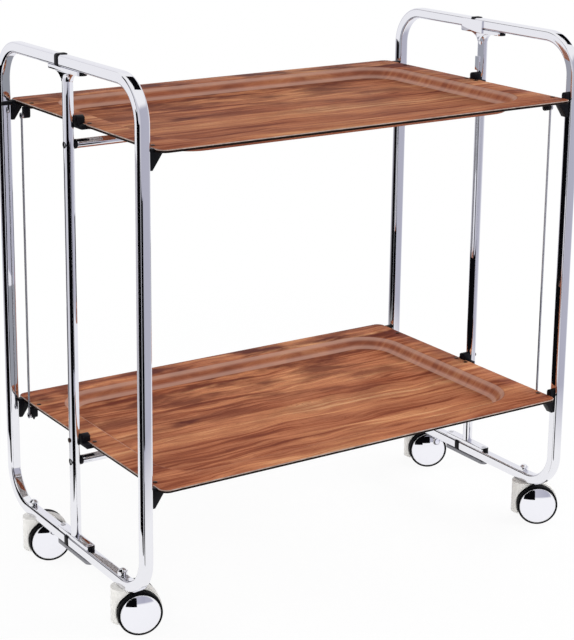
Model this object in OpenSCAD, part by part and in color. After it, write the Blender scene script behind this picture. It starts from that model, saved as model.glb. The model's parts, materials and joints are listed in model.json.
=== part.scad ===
// Folding serving cart: two chromed end frames of bent square tube, two dished wood trays
// that tip together on crossbars between the end posts, and four twin-wheel casters.
// X runs along the cart, -Y is its front, Z is up from the floor, all sizes in millimetres.

/* [End frames] */
// Distance between the two end frames, from tube centre to tube centre
frame_len = 666; // [600:1:740]
// Distance between the front and rear uprights, from tube centre to tube centre
frame_depth = 378; // [360:1:430]
// Height of the top rails' centre above the floor
top_rail_z = 713; // [700:1:770]
// Side of the square tube
tube_w = 15; // [14.5:0.5:17]
// Wall of the square tube
tube_wall = 1.2; // [0.9:0.1:2]
// Corner radius of the square tube's section
tube_corner_r = 3.5; // [2.5:0.1:5]
// Bend radius of the tube's centre line
bend_r = 50; // [36:1:54]

/* [Posts and hinges] */
// Diameter of the round middle posts
post_d = 14; // [12.5:0.5:15.5]
// Wall of the round middle posts
post_wall = 1.5; // [1:0.1:2]
// Distance of each hinge pin from the middle post
hinge_y = 38; // [32:1:44]
// Diameter of the hinge pins
hinge_pin_d = 6; // [4:0.5:7]
// Thickness of the hinge bars above the bottom rails and below the top rails
hinge_bar_t = 5; // [4:0.5:8]
// Place along the rail of the joint between its two halves
joint_y = 15; // [12:0.5:17]
// Width of the ring that closes this joint
collar_w = 8; // [6:0.5:9]
// Height that the ring stands proud of the tube
collar_lip = 1; // [0.4:0.1:1.2]
// Height of the flare where the post meets the top hinge bar
flare_h = 12; // [8:1:16]

/* [Trays] */
// Height of the top rails' centre above the upper tray's rim
tray_below_rail = 78; // [73:1:110]
// Height of the lower tray's rim
lower_tray_z = 212; // [208:1:260]
// Gap between a tray's end and the end frame
tray_end_gap = 7.5; // [6.8:0.1:9]
// Distance that the trays reach beyond the tubes at front and rear
tray_over = 9.5; // [4:0.5:12]
// Thickness of the tray
tray_t = 4; // [3.5:0.5:6]
// Width of the tray's flat rim
rim_w = 33; // [28:1:36]
// Width of the slope from the rim to the sunken floor
slope_w = 20; // [14:1:28]
// Depth of the sunken floor
dish_depth = 15; // [10:1:16]
// Corner radius of the tray's outline
tray_corner_r = 12; // [10:1:38]
// Corner radius of the sunken part, at the rim
dish_corner_r = 60; // [48:1:80]

/* [Tray fittings] */
// Diameter of the crossbar that carries a tray
crossbar_d = 12; // [10:0.5:13]
// Wall of the crossbar
crossbar_wall = 1.2; // [0.8:0.1:1.6]
// Diameter of the pins on which the crossbars turn in the posts
pivot_d = 6; // [4:0.5:6.5]
// Distance of the saddles from the middle of the tray
saddle_x = 190; // [120:1:230]
// Diameter of the two thin rods that link the trays
rod_d = 3; // [2.5:0.1:3.4]
// Distance of these rods from the nearest upright, along the end frame
rod_from_upright = 29; // [28:1:33]
// Depth of the rods' pins below the rims
rod_drop = 17; // [15:0.5:20]
// Height of the black corner gussets below the rims
gusset_h = 22; // [16:1:22]
// Diameter of the rivets through the rims
rivet_d = 3.2; // [2.5:0.1:3.6]

/* [Casters] */
// Distance of the casters' stems from the nearest upright, along the end frame
caster_from_upright = 61; // [59:1:71]
// Diameter of the wheels
wheel_d = 58; // [50:1:60]
// Width of one wheel
wheel_w = 14; // [11:0.5:16]
// Distance between the two wheels of a caster
wheel_gap = 20; // [18:0.5:24]
// Distance from the swivel axis to the axle
trail = 18; // [15:0.5:20]
// Height left between the wheels and the bottom rail
wheel_clear = 2.5; // [2:0.1:5]
// Width of the black and white rings round the mirror cap, on the wheel's face
wheel_ring_w = 3.5; // [3.1:0.1:7]
// Diameter of the axles
axle_d = 5; // [4:0.5:6]
// Diameter of the upright stems
stem_d = 8; // [6:0.5:9]
// Diameter of the hood's housing round the stem
housing_d = 32; // [26:1:34]
// Turn of the front left caster
turn_front_left = 17.5; // [-180:0.5:180]
// Turn of the rear left caster
turn_rear_left = 14.5; // [-180:0.5:180]
// Turn of the front right caster
turn_front_right = 31; // [-180:0.5:180]
// Turn of the rear right caster
turn_rear_right = 27.5; // [-180:0.5:180]

/* [Hidden] */
$fn = 64;

// Clearances: a pin in its hole, pieces that pass each other, and a cut that runs past a face
run_fit = 0.05;
side_gap = 0.3;
past = 1;

// Heights and places that follow from the sizes above
rail_under = wheel_d + wheel_clear;
bottom_rail_z = rail_under + tube_w / 2;
bottom_rail_top = bottom_rail_z + tube_w / 2;
top_rail_under = top_rail_z - tube_w / 2;
frame_x = frame_len / 2;
inner_x = frame_x - tube_w / 2;
upright_y = frame_depth / 2;
upper_tray_z = top_rail_z - tray_below_rail;
rail_straight = upright_y - bend_r;
rod_y = upright_y - rod_from_upright;
caster_y = upright_y - caster_from_upright;
bar_inset = 0.5;
bar_w = tube_w - 2 * bar_inset;
post_foot = bottom_rail_top + hinge_bar_t;
post_head = top_rail_under - hinge_bar_t;
post_in_x = frame_x - post_d / 2;
post_out_x = frame_x + post_d / 2;

tray_end_x = inner_x - tray_end_gap;
tray_side_y = upright_y + tube_w / 2 + tray_over;
dish_l = 2 * (tray_end_x - rim_w);
dish_w = 2 * (tray_side_y - rim_w);
floor_l = dish_l - 2 * slope_w;
floor_w = dish_w - 2 * slope_w;
slope_steps = 14;
slope_lap = 1;

// Depths below the rim's top face of the crossbar's axis and of the brackets' feet
bar_gap = 2;
pivot_drop = dish_depth + tray_t + bar_gap + crossbar_d / 2;
foot_t = 2;
foot_drop = tray_t + foot_t;

// Sizes of the pieces at the posts and rails
cap_t = 2.5;
cap_cut = hinge_y + bar_w / 2 - cap_t;
flare_wall = 0.6;
flare_rim = 0.4;
flange_t = 2;
flange_y = [-8, 36];
flange_below = 2;
flange_top = tube_w - flange_below;
spigot_l = 8;
post_rivet_rise = 3;
post_rivet_z = lower_tray_z + post_rivet_rise;
pad_t = 3;
pad_h = 5;
catch_t = 1.5;
catch_stand = 2.5;
catch_gap = 2;
catch_w = 8;
tongue_h = 20;
tongue_foot_h = 8;

// Sizes of the brackets and fittings on the trays
bush_flange_t = 2.8;
bush_flange_r = 6.2;
bush_wall = 1.5;
bush_short = 0.5;
bush_in_x = post_in_x - bush_flange_t;
corner_reach = 3;
corner_y = upright_y + corner_reach;
foot_past_rivet = 5;
gusset_t = 10;
gusset_w = 19;
gusset_tip = 4;
lobe_r = 4;
lobe_rise = 8;
post_clear = 1.4;
end_bracket_x = post_in_x - post_clear;
end_bracket_y = [-20, 10];
boss_rise = 10;
boss_y = [-9, 3];
boss_r = 8;
boss_lap = 4;
rivet_in = 7;
rivet_x = tray_end_x - rivet_in;
end_foot_l = 7;
corner_foot_l = 11;
front_rivet_in = 32;
rear_rivet_in = 56;
front_rivet_y = tray_side_y - front_rivet_in;
rear_rivet_y = tray_side_y - rear_rivet_in;
end_rivet_y = [-15, 6];
rivet_head_r = rivet_d;
rivet_head_h = 1.2;
saddle_l = 24;
saddle_w = 22;
plug_l = 20;
eye_r = rod_d / 2 + 2.5;
rod_x = tray_end_x + side_gap + rod_d;
clip_r = 4;
clip_l = 9;

// Sizes inside the casters
caster_turns = [turn_front_left, turn_rear_left, turn_front_right, turn_rear_right];
cap_d = wheel_d - 2 * wheel_ring_w;
hood_gap = 0.8;
hood_top = rail_under - hood_gap;
hood_r = hood_top - wheel_d / 2;
hood_foot = 13;
well_gap = 1;
web_gap = 0.5;
tyre_edge_r = 2.2;
cap_line = 0.6;
hub_r = cap_d / 2 + cap_line;
cap_rise = 4;
cap_seat = 1;
stem_foot = 24;
nut_r = 6.8;
nut_h = 5;
dome_h = 4;

// Square section with round corners
module soft_square(w, r) {
    square([w - 2 * r, w], center = true);
    square([w, w - 2 * r], center = true);
    for (sx = [-1, 1], sy = [-1, 1]) translate([sx, sy] * (w / 2 - r)) circle(r);
}

// Rectangle with round corners
module soft_rectangle(l, w, r) {
    square([l - 2 * r, w], center = true);
    square([l, w - 2 * r], center = true);
    for (sx = [-1, 1], sy = [-1, 1]) translate([sx * (l / 2 - r), sy * (w / 2 - r)]) circle(r);
}

// Section of the bent tube
module tube_section() {
    difference() {
        soft_square(tube_w, tube_corner_r);
        soft_square(tube_w - 2 * tube_wall, max(tube_corner_r - tube_wall, 0.5));
    }
}

// One quarter bend, from an upright into a rail
module quarter_bend() {
    rotate([90, 0, 90]) rotate_extrude(angle = 90, $fn = 96) translate([bend_r, 0]) tube_section();
}

// Half of an end frame: a rail, a bend, the upright, a bend and a rail, ending at y_end
module half_frame(y_end) {
    rail_l = rail_straight - y_end;
    low_z = bottom_rail_z + bend_r;
    high_z = top_rail_z - bend_r;
    difference() {
        union() {
            for (z = [bottom_rail_z, top_rail_z])
                translate([0, y_end, z]) rotate([-90, 0, 0]) linear_extrude(rail_l) tube_section();
            translate([0, rail_straight, high_z]) quarter_bend();
            translate([0, rail_straight, low_z]) mirror([0, 0, 1]) quarter_bend();
            translate([0, upright_y, low_z]) linear_extrude(high_z - low_z) tube_section();
        }
        // The upper hinge pin enters the top rail from below, the lower one passes through
        translate([0, hinge_y, top_rail_under - past])
            cylinder(r = hinge_pin_d / 2 + run_fit, h = tube_w / 2 + past);
        translate([0, hinge_y, rail_under - past])
            cylinder(r = hinge_pin_d / 2 + run_fit, h = tube_w + 2 * past);
        // The caster's stem passes through the bottom rail
        translate([0, caster_y, rail_under - past])
            cylinder(r = stem_d / 2 + run_fit, h = tube_w + 2 * past);
    }
}

module rear_frame(side) {
    color("lightsteelblue") translate([side * frame_x, 0, 0]) half_frame(joint_y + collar_w / 2);
}

module front_frame(side) {
    color("lightsteelblue") translate([side * frame_x, 0, 0])
        mirror([0, 1, 0]) half_frame(collar_w / 2 - joint_y);
}

// Round middle post, bored for the two crossbar bushes and for a rivet
module post(side) {
    color("lightsteelblue") translate([side * frame_x, 0, 0]) difference() {
        translate([0, 0, post_foot]) cylinder(d = post_d, h = post_head - post_foot);
        translate([0, 0, post_foot - past])
            cylinder(d = post_d - 2 * post_wall, h = post_head - post_foot + 2 * past);
        for (z = [lower_tray_z - pivot_drop, upper_tray_z - pivot_drop])
            translate([0, 0, z]) rotate([0, 90, 0])
                cylinder(r = pivot_d / 2 + bush_wall + run_fit, h = post_d + 2 * past, center = true);
        translate([0, 0, post_rivet_z]) rotate([0, 90 * side, 0])
            cylinder(r = rivet_d / 2 + run_fit, h = post_d / 2 + past);
    }
}

// Outline of a hinge bar, with a full round at each end round its hinge pin
module bar_outline() {
    square([bar_w, 2 * hinge_y], center = true);
    for (s = [-1, 1]) translate([0, s * hinge_y]) circle(d = bar_w);
}

// Hinge bar without the black cap that covers its front end
module capped_bar() {
    difference() {
        linear_extrude(hinge_bar_t) bar_outline();
        cap_room();
    }
}

// Space in front of the plane where a hinge bar meets its cap
module cap_room() {
    translate([-tube_w, -cap_cut - tube_w, -past])
        cube([2 * tube_w, tube_w, hinge_bar_t + 2 * past]);
}

module hinge_pin_holes(z, h) {
    for (s = [-1, 1]) translate([0, s * hinge_y, z]) cylinder(r = hinge_pin_d / 2 + run_fit, h = h);
}

// Flare from the post into the top hinge bar, cut straight at its sides
module flare() {
    post_r = post_d / 2;
    flare_r = post_r + flare_wall + flare_h;
    flare_w = post_d + 2 * flare_wall;
    intersection() {
        rotate_extrude() difference() {
            translate([post_r, 0]) square([flare_wall + flare_h, flare_h]);
            translate([flare_r, -flare_rim]) circle(flare_h);
        }
        translate([-flare_w / 2, -flare_r - past, -past])
            cube([flare_w, 2 * (flare_r + past), flare_h + 2 * past]);
    }
}

// Bar below the top rail, with the flange that covers the rail's inner side
module top_bar(side) {
    color("silver") translate([side * frame_x, 0, post_head]) mirror([side < 0 ? 1 : 0, 0, 0])
        difference() {
            union() {
                capped_bar();
                translate([0, 0, -flare_h]) flare();
                translate([-tube_w / 2 - flange_t, flange_y[0], 0])
                    cube([flange_t, flange_y[1] - flange_y[0], hinge_bar_t + flange_top]);
                translate([-tube_w / 2, flange_y[0], 0])
                    cube([tube_w / 2, flange_y[1] - flange_y[0], hinge_bar_t]);
            }
            hinge_pin_holes(-past, hinge_bar_t + 2 * past);
        }
}

// Bar above the bottom rail, which carries the post
module bottom_bar(side) {
    color("silver") translate([side * frame_x, 0, bottom_rail_top]) difference() {
        capped_bar();
        hinge_pin_holes(-past, hinge_bar_t + 2 * past);
    }
}

// Plates below the bottom rails
module lower_hinge_plates() {
    color("darkgray") for (s = [-1, 1])
        translate([s * frame_x, 0, rail_under - hinge_bar_t]) difference() {
            linear_extrude(hinge_bar_t) bar_outline();
            hinge_pin_holes(-past, hinge_bar_t + 2 * past);
        }
}

// Upright pins that join the half frames to the hinge bars
module hinge_pins() {
    low_z = rail_under - hinge_bar_t;
    high_z = top_rail_z + tube_w / 2 - tube_wall;
    color("gray") for (sx = [-1, 1], sy = [-1, 1]) translate([sx * frame_x, sy * hinge_y, 0]) {
        translate([0, 0, low_z]) cylinder(d = hinge_pin_d, h = post_foot - low_z);
        translate([0, 0, post_head]) cylinder(d = hinge_pin_d, h = high_z - post_head);
    }
}

// Black ring between the halves of a rail, with a spigot in the rear half. Its lip stands
// proud only where lip_low, lip_high and lip_in leave room beside the hinge bars.
module rail_collar(z, lip_low, lip_high, lip_in) {
    plug_w = tube_w - 2 * tube_wall - 2 * run_fit;
    plug_r = max(tube_corner_r - tube_wall, 0.5);
    ring_w = tube_w + 2 * collar_lip;
    y0 = joint_y - collar_w / 2 + side_gap;
    ring_l = collar_w - side_gap;
    translate([0, y0, z]) {
        rotate([-90, 0, 0]) linear_extrude(ring_l) soft_square(tube_w, tube_corner_r);
        rotate([-90, 0, 0]) linear_extrude(ring_l + spigot_l) soft_square(plug_w, plug_r);
        intersection() {
            rotate([-90, 0, 0]) linear_extrude(ring_l) soft_square(ring_w, tube_corner_r);
            translate([-lip_in, -past, lip_low])
                cube([lip_in + ring_w, collar_w + 2 * past, lip_high - lip_low]);
        }
    }
}

module rail_collars() {
    half = tube_w / 2;
    color("black") for (side = [-1, 1])
        translate([side * frame_x, 0, 0]) mirror([side < 0 ? 1 : 0, 0, 0]) {
            rail_collar(top_rail_z, past - half, half + collar_lip, half - past);
            rail_collar(bottom_rail_z, past - half, half - past, half + collar_lip);
        }
}

// Black caps that close the front ends of the hinge bars
module bar_end_caps() {
    color("black") for (side = [-1, 1], z = [bottom_rail_top, post_head])
        translate([side * frame_x, 0, z]) intersection() {
            linear_extrude(hinge_bar_t) bar_outline();
            cap_room();
        }
}

// Flanged bushes in the posts, with a saddle that fits the round post
module pivot_bushes() {
    sleeve_r = pivot_d / 2 + bush_wall;
    sleeve_l = post_out_x - bush_in_x - bush_short;
    color("black") for (side = [-1, 1], z = [lower_tray_z - pivot_drop, upper_tray_z - pivot_drop])
        mirror([side < 0 ? 1 : 0, 0, 0]) translate([bush_in_x, 0, z]) difference() {
            union() {
                rotate([0, 90, 0]) cylinder(r = sleeve_r, h = sleeve_l);
                difference() {
                    rotate([0, 90, 0]) cylinder(r = bush_flange_r, h = bush_flange_t + 2);
                    translate([frame_x - bush_in_x, 0, -tube_w]) cylinder(d = post_d, h = 2 * tube_w);
                }
            }
            translate([-past, 0, 0]) rotate([0, 90, 0])
                cylinder(r = pivot_d / 2 + run_fit, h = sleeve_l + 2 * past);
        }
}

// Small dark rivets on the posts' outer sides
module post_rivets() {
    color("black") for (side = [-1, 1]) translate([side * frame_x, 0, post_rivet_z])
        rotate([0, 90 * side, 0]) {
            translate([0, 0, post_d / 2 - post_wall - 1]) cylinder(d = rivet_d, h = post_wall + 2);
            translate([0, 0, post_d / 2]) cylinder(r = rivet_head_r, h = rivet_head_h);
        }
}

// Small pads against which the level upper tray's corners rest
module stop_pads() {
    color("black") for (s = [-1, 1])
        translate([-s * frame_x - tube_w / 2, 0, upper_tray_z - pad_h]) {
            y_face = upright_y - tube_w / 2;
            y0 = s > 0 ? y_face - pad_t : -y_face;
            translate([0, y0, 0]) cube([tube_w, pad_t, pad_h]);
        }
}

// Spring tongue on the right post that holds the upper tray level
module tray_catch() {
    z0 = upper_tray_z + boss_rise + catch_gap;
    color("silver") difference() {
        union() {
            translate([post_in_x - catch_stand, -catch_w / 2, z0]) cube([catch_t, catch_w, tongue_h]);
            translate([post_in_x - catch_stand, -catch_w / 2, z0 + tongue_h - tongue_foot_h])
                cube([catch_stand + post_d / 4, catch_w, tongue_foot_h]);
        }
        translate([frame_x, 0, z0 - past]) cylinder(d = post_d, h = tongue_h + 2 * past);
    }
}

// Puts its children at a caster: front left, rear left, front right or rear right
module at_caster(i) {
    translate([i < 2 ? -frame_x : frame_x, i % 2 == 0 ? -caster_y : caster_y, 0])
        rotate([0, 0, -caster_turns[i]]) children();
}

module caster_stems() {
    color("gray") for (i = [0:3]) at_caster(i) {
        translate([0, 0, stem_foot]) cylinder(d = stem_d, h = bottom_rail_top + nut_h - 1 - stem_foot);
    }
}

// Domed nuts that hold the stems on top of the bottom rails
module stem_nuts() {
    dome_r = nut_r - 1.2;
    ball_r = (dome_r * dome_r + dome_h * dome_h) / (2 * dome_h);
    color("silver") for (i = [0:3]) at_caster(i) translate([0, 0, bottom_rail_top]) difference() {
        union() {
            cylinder(r = nut_r, h = nut_h, $fn = 6);
            translate([0, 0, nut_h]) intersection() {
                translate([0, 0, dome_h - ball_r]) sphere(ball_r);
                cylinder(r = dome_r, h = dome_h);
            }
        }
        translate([0, 0, -past]) cylinder(r = stem_d / 2 + run_fit, h = nut_h + past - 0.5);
    }
}

// Hood between the wheels: a housing round the stem and a round web that carries the axle
module hood(i) {
    color("gainsboro") at_caster(i) difference() {
        union() {
            translate([0, 0, hood_foot]) cylinder(d = housing_d, h = hood_top - hood_foot);
            translate([trail, 0, wheel_d / 2]) rotate([90, 0, 0])
                cylinder(r = hood_r, h = wheel_gap - 2 * web_gap, center = true, $fn = 96);
        }
        for (s = [-1, 1])
            translate([trail, s * (wheel_gap / 2 - web_gap), wheel_d / 2]) rotate([-90 * s, 0, 0])
                cylinder(r = wheel_d / 2 + well_gap, h = 2 * wheel_w, $fn = 96);
        translate([0, 0, stem_foot - side_gap]) cylinder(r = stem_d / 2 + run_fit, h = hood_top);
        translate([trail, 0, wheel_d / 2]) rotate([90, 0, 0])
            cylinder(r = axle_d / 2 + run_fit, h = 2 * wheel_gap, center = true);
        translate([-wheel_d, -wheel_d, hood_foot - wheel_d]) cube([3 * wheel_d, 2 * wheel_d, wheel_d]);
    }
}

// Puts its children on both sides of a caster, with their Z axis outwards along the axle
module on_both_wheels(i) {
    at_caster(i) translate([trail, 0, wheel_d / 2])
        for (s = [-1, 1]) rotate([-90 * s, 0, 0]) translate([0, 0, wheel_gap / 2]) children();
}

module axle(i) {
    color("gray") at_caster(i) translate([trail, 0, wheel_d / 2]) rotate([90, 0, 0])
        cylinder(d = axle_d, h = wheel_gap + 2 * (wheel_w - cap_seat - 1), center = true);
}

module hubs(i) {
    color("white") on_both_wheels(i) difference() {
        translate([0, 0, 0.5]) cylinder(r = hub_r, h = wheel_w - cap_seat - 0.5);
        translate([0, 0, -past]) cylinder(d = axle_d, h = wheel_w - cap_seat - 1 + past);
    }
}

// Black tyre, rounded where it meets the floor
module tyres(i) {
    r_in = hub_r + run_fit;
    r_out = wheel_d / 2;
    color("black") on_both_wheels(i) rotate_extrude($fn = 128) intersection() {
        translate([r_in, 0]) square([r_out - r_in, wheel_w]);
        union() {
            square([r_out - tyre_edge_r, wheel_w]);
            translate([0, tyre_edge_r]) square([r_out, wheel_w - 2 * tyre_edge_r]);
            for (z = [tyre_edge_r, wheel_w - tyre_edge_r])
                translate([r_out - tyre_edge_r, z]) circle(tyre_edge_r);
        }
    }
}

// Domed mirror caps
module caps(i) {
    ball_r = (cap_d * cap_d / 4 + cap_rise * cap_rise) / (2 * cap_rise);
    color("silver") on_both_wheels(i) translate([0, 0, wheel_w - cap_seat]) intersection() {
        translate([0, 0, cap_rise - ball_r]) sphere(ball_r, $fn = 128);
        cylinder(d = cap_d, h = cap_rise + past, $fn = 96);
    }
}

// Tray: a flat rim, an S-shaped slope and a sunken floor, all of one thickness. The slope's
// section laps a little into the rim and into the floor.
function slope_z(s) = -dish_depth * (1 - cos(180 * s)) / 2;
slope_top = concat([[slope_lap, 0]],
    [for (i = [0:slope_steps]) [-slope_w * i / slope_steps, slope_z(i / slope_steps)]],
    [[-slope_w - slope_lap, -dish_depth]]);
slope_under = [for (i = [len(slope_top) - 1:-1:0]) slope_top[i] - [0, tray_t]];
module slope_profile(edge) {
    translate([edge, 0]) polygon(concat(slope_top, slope_under));
}

module tray(rim_z) {
    run_x = dish_l / 2 - dish_corner_r;
    run_y = dish_w / 2 - dish_corner_r;
    color("sienna") translate([0, 0, rim_z]) difference() {
        union() {
            translate([0, 0, -tray_t]) linear_extrude(tray_t) difference() {
                soft_rectangle(2 * tray_end_x, 2 * tray_side_y, tray_corner_r, $fn = 96);
                soft_rectangle(dish_l, dish_w, dish_corner_r, $fn = 96);
            }
            for (a = [0, 180]) rotate([0, 0, a]) {
                rotate([90, 0, 0]) linear_extrude(2 * run_y, center = true) slope_profile(dish_l / 2);
                rotate([90, 0, 90]) linear_extrude(2 * run_x, center = true) slope_profile(dish_w / 2);
                translate([run_x, run_y, 0])
                    rotate_extrude(angle = 90, $fn = 96) slope_profile(dish_corner_r);
                translate([-run_x, run_y, 0]) rotate([0, 0, 90])
                    rotate_extrude(angle = 90, $fn = 96) slope_profile(dish_corner_r);
            }
            translate([0, 0, -dish_depth - tray_t]) linear_extrude(tray_t)
                soft_rectangle(floor_l, floor_w, dish_corner_r - slope_w, $fn = 96);
        }
        at_rivets() translate([0, 0, -tray_t - past])
            cylinder(r = rivet_d / 2 + run_fit, h = tray_t + 2 * past);
    }
}

// Puts its children at each rivet of a tray's rim
module at_rivets() {
    for (sx = [-1, 1]) {
        for (y = [-front_rivet_y, end_rivet_y[0], end_rivet_y[1], rear_rivet_y])
            translate([sx * rivet_x, y, 0]) children();
    }
}

module crossbar(rim_z) {
    l = 2 * (bush_in_x - side_gap);
    color("silver") translate([0, 0, rim_z - pivot_drop]) rotate([0, 90, 0]) difference() {
        cylinder(d = crossbar_d, h = l, center = true);
        cylinder(d = crossbar_d - 2 * crossbar_wall, h = l + 2 * past, center = true);
    }
}

// Plugs in the crossbar's ends, with the pins that turn in the bushes
module pivot_pins(rim_z) {
    bar_end = bush_in_x - side_gap;
    color("gray") for (side = [-1, 1]) translate([side * bar_end, 0, rim_z - pivot_drop])
        rotate([0, 90 * side, 0]) {
            translate([0, 0, -plug_l]) cylinder(r = crossbar_d / 2 - crossbar_wall - run_fit, h = plug_l);
            cylinder(d = pivot_d, h = post_out_x - bar_end - 1);
        }
}

// Blocks under the sunken floor that rest on the crossbar
module saddles(rim_z) {
    top = pivot_drop - dish_depth - tray_t;
    color("black") for (s = [-1, 1]) translate([s * saddle_x, 0, rim_z - pivot_drop]) difference() {
        translate([-saddle_l / 2, -saddle_w / 2, -2]) cube([saddle_l, saddle_w, top + 2]);
        rotate([0, 90, 0]) cylinder(d = crossbar_d, h = saddle_l + 2 * past, center = true);
    }
}

// Brackets under the middle of the tray's ends, with a boss that rises beside the post
module end_brackets(rim_z) {
    y0 = end_bracket_y[0];
    bracket_w = end_bracket_y[1] - y0;
    foot_x = rivet_x - end_foot_l;
    wall_x = tray_end_x + side_gap;
    boss_x = wall_x - boss_lap;
    color("black") for (side = [-1, 1])
        translate([0, 0, rim_z]) mirror([side < 0 ? 1 : 0, 0, 0]) difference() {
            union() {
                translate([foot_x, y0, -foot_drop])
                    cube([end_bracket_x - foot_x, bracket_w, foot_t]);
                translate([wall_x, y0, -foot_drop])
                    cube([end_bracket_x - wall_x, bracket_w, foot_drop]);
                translate([boss_x, 0, 0]) intersection() {
                    translate([0, boss_y[0], 0])
                        cube([end_bracket_x - boss_x, boss_y[1] - boss_y[0], boss_rise]);
                    translate([0, (boss_y[0] + boss_y[1]) / 2, boss_rise - boss_r]) rotate([0, 90, 0])
                        cylinder(r = boss_r, h = end_bracket_x - boss_x);
                }
            }
            for (y = end_rivet_y) translate([rivet_x, y, -foot_drop - past])
                cylinder(r = rivet_d / 2 + run_fit, h = foot_t + 2 * past);
        }
}

// Bracket at one corner: a foot under the rim, a gusset and a lug beside the tray.
// A tall lug rises above the rim, with a round top.
module corner_bracket(rivet_y, tall_lug) {
    foot_x = rivet_x - corner_foot_l;
    foot_y = min(rivet_y - foot_past_rivet, rod_y - clip_r - 1);
    gusset_y = corner_y - gusset_t;
    end_x = inner_x - side_gap;
    lug_x = tray_end_x + side_gap;
    lug_y = gusset_y + gusset_t - 2 * lobe_r;
    difference() {
        union() {
            translate([foot_x, foot_y, -foot_drop])
                cube([tray_end_x - 1 - foot_x, gusset_y + gusset_t - foot_y, foot_t]);
            translate([0, gusset_y + gusset_t, -tray_t]) rotate([90, 0, 0]) linear_extrude(gusset_t)
                polygon([[end_x - gusset_w, 0], [end_x, 0], [end_x, -gusset_h],
                         [end_x - gusset_tip, -gusset_h]]);
            translate([lug_x, lug_y, -tray_t])
                cube([end_x - lug_x, 2 * lobe_r, tray_t + (tall_lug ? lobe_rise - lobe_r : 0)]);
            if (tall_lug) translate([lug_x, lug_y + lobe_r, lobe_rise - lobe_r]) rotate([0, 90, 0])
                cylinder(r = lobe_r, h = end_x - lug_x);
        }
        translate([rivet_x, rivet_y, -foot_drop - past])
            cylinder(r = rivet_d / 2 + run_fit, h = foot_t + 2 * past);
    }
}

module corner_brackets(rim_z) {
    color("black") translate([0, 0, rim_z]) for (side = [-1, 1]) mirror([side < 0 ? 1 : 0, 0, 0]) {
        corner_bracket(rear_rivet_y, false);
        mirror([0, 1, 0]) corner_bracket(front_rivet_y, side > 0);
    }
}

// Rivets through the rim and the brackets' feet
module rivets(rim_z) {
    color("dimgray") translate([0, 0, rim_z]) at_rivets() {
        translate([0, 0, -foot_drop]) cylinder(d = rivet_d, h = foot_drop);
        cylinder(r = rivet_head_r, h = rivet_head_h);
        translate([0, 0, -foot_drop - rivet_head_h])
            cylinder(r = rivet_head_r - 0.4, h = rivet_head_h);
    }
}

// Clips under the rim with the pins on which the thin rods turn; tip is a point below them
module rod_clip(tip) {
    x0 = tray_end_x - clip_l + 1;
    drop = rod_drop - foot_drop;
    translate([x0, -clip_r, -rod_drop]) cube([clip_l, 2 * clip_r, drop]);
    translate([x0, 0, -rod_drop]) rotate([0, 90, 0]) cylinder(r = clip_r, h = clip_l);
    translate([x0, 0, -rod_drop]) rotate([0, 90, 0])
        cylinder(d = rod_d, h = rod_x + rod_d / 2 + 0.7 - x0);
    if (tip > 0) translate([x0 + clip_l / 2, 0, -rod_drop - clip_r - tip])
        cylinder(r1 = 0.8, r2 = clip_r - 0.4, h = clip_r + tip);
}

module rod_clips(rim_z, tip) {
    color("black") translate([0, 0, rim_z]) for (s = [-1, 1])
        translate([0, s * rod_y, 0]) mirror([s > 0 ? 1 : 0, 0, 0]) rod_clip(tip);
}

// Thin rod between the trays, with an eye at each end
module link_rod(s) {
    low_z = lower_tray_z - rod_drop;
    high_z = upper_tray_z - rod_drop;
    color("silver") translate([-s * rod_x, s * rod_y, 0]) difference() {
        union() {
            translate([0, 0, low_z]) cylinder(d = rod_d, h = high_z - low_z);
            for (z = [low_z, high_z])
                translate([0, 0, z]) rotate([0, 90, 0]) cylinder(r = eye_r, h = rod_d, center = true);
        }
        for (z = [low_z, high_z])
            translate([0, 0, z]) rotate([0, 90, 0])
                cylinder(r = rod_d / 2 + run_fit, h = 2 * rod_d, center = true);
    }
}

rear_frame(-1);  // left_rear_frame
front_frame(-1);  // left_front_frame
rear_frame(1);  // right_rear_frame
front_frame(1);  // right_front_frame
post(-1);  // left_post
post(1);  // right_post
top_bar(-1);  // left_top_bar
top_bar(1);  // right_top_bar
bottom_bar(-1);  // left_bottom_bar
bottom_bar(1);  // right_bottom_bar
lower_hinge_plates();
hinge_pins();
rail_collars();
bar_end_caps();
pivot_bushes();
post_rivets();
stop_pads();
tray_catch();
caster_stems();
stem_nuts();
tray(upper_tray_z);  // upper_tray
crossbar(upper_tray_z);  // upper_crossbar
pivot_pins(upper_tray_z);  // upper_pivot_pins
saddles(upper_tray_z);  // upper_saddles
end_brackets(upper_tray_z);  // upper_end_brackets
corner_brackets(upper_tray_z);  // upper_corner_brackets
rivets(upper_tray_z);  // upper_rivets
rod_clips(upper_tray_z, 0);  // upper_rod_clips
tray(lower_tray_z);  // lower_tray
crossbar(lower_tray_z);  // lower_crossbar
pivot_pins(lower_tray_z);  // lower_pivot_pins
saddles(lower_tray_z);  // lower_saddles
end_brackets(lower_tray_z);  // lower_end_brackets
corner_brackets(lower_tray_z);  // lower_corner_brackets
rivets(lower_tray_z);  // lower_rivets
rod_clips(lower_tray_z, 3);  // lower_rod_clips
link_rod(1);  // rear_left_rod
link_rod(-1);  // front_right_rod
hood(0);  // front_left_hood
axle(0);  // front_left_axle
hubs(0);  // front_left_hubs
tyres(0);  // front_left_tyres
caps(0);  // front_left_caps
hood(1);  // rear_left_hood
axle(1);  // rear_left_axle
hubs(1);  // rear_left_hubs
tyres(1);  // rear_left_tyres
caps(1);  // rear_left_caps
hood(2);  // front_right_hood
axle(2);  // front_right_axle
hubs(2);  // front_right_hubs
tyres(2);  // front_right_tyres
caps(2);  // front_right_caps
hood(3);  // rear_right_hood
axle(3);  // rear_right_axle
hubs(3);  // rear_right_hubs
tyres(3);  // rear_right_tyres
caps(3);  // rear_right_caps
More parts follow.
